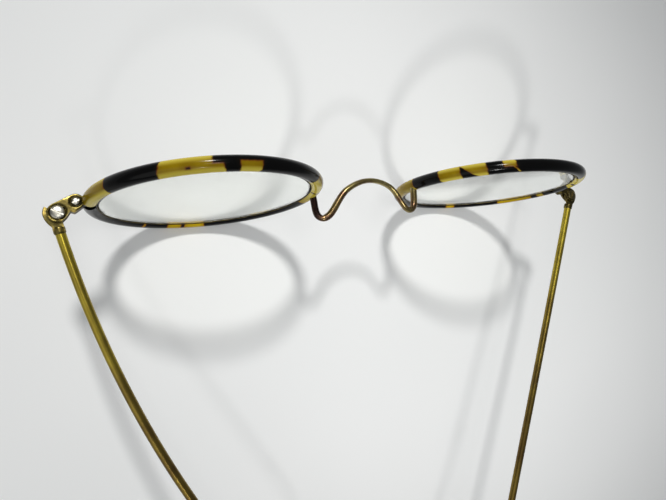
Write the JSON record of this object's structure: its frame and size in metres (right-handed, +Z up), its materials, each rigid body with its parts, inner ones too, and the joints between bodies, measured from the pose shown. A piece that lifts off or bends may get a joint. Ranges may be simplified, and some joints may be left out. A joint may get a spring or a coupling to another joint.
{
  "type": "round eyeglasses",
  "caption": "Round wire eyeglasses with tortoise celluloid rim covers, clear lenses, a high saddle bridge, split end pieces and folding temples that end in curled ear cables",
  "frame": {"origin": "middle of the bounding box in plan, on the table the glasses stand on", "axes": "+X to the wearer's right, +Y ahead of the wearer, out through the lenses, +Z up from the table"},
  "size_m": [0.1208, 0.1164, 0.0424],
  "materials": {
    "lens": "clear polished glass",
    "tortoise": "polished amber and black mottled celluloid",
    "brass": "polished brass with an aged tint",
    "worn_brass": "worn brass with a dull olive tint",
    "steel": "polished steel"
  },
  "bodies": {
    "front": {"left_lens": "lens", "right_lens": "lens", "left_eyewire": "worn_brass", "right_eyewire": "worn_brass", "left_rim_cover": "tortoise", "right_rim_cover": "tortoise", "bridge": "worn_brass", "left_upper_end_piece": "brass", "right_upper_end_piece": "brass", "left_lower_end_piece": "brass", "right_lower_end_piece": "brass", "left_hinge_screw": "steel", "right_hinge_screw": "steel", "left_closing_screw": "steel", "right_closing_screw": "steel"},
    "left_temple": {"left_temple_butt": "brass", "left_temple_shaft": "brass", "left_ear_ferrule": "brass", "left_ear_core": "steel", "left_ear_cable": "worn_brass", "left_ear_tip": "brass"},
    "right_temple": {"right_temple_butt": "brass", "right_temple_shaft": "brass", "right_ear_ferrule": "brass", "right_ear_core": "steel", "right_ear_cable": "worn_brass", "right_ear_tip": "brass"}
  },
  "joints": [
    {"name": "left_temple_hinge", "type": "hinge", "parent": "front", "child": "left_temple", "pos_m": [-0.05809, 0.04965, 0.02281], "axis": [-0.0027, 0.28, 0.96], "range_deg": [-15.6, 61.4]},
    {"name": "right_temple_hinge", "type": "hinge", "parent": "front", "child": "right_temple", "pos_m": [0.05809, 0.04841, 0.02304], "axis": [-0.0119, -0.2202, -0.9754], "range_deg": [-19.6, 67.4]}
  ]
}
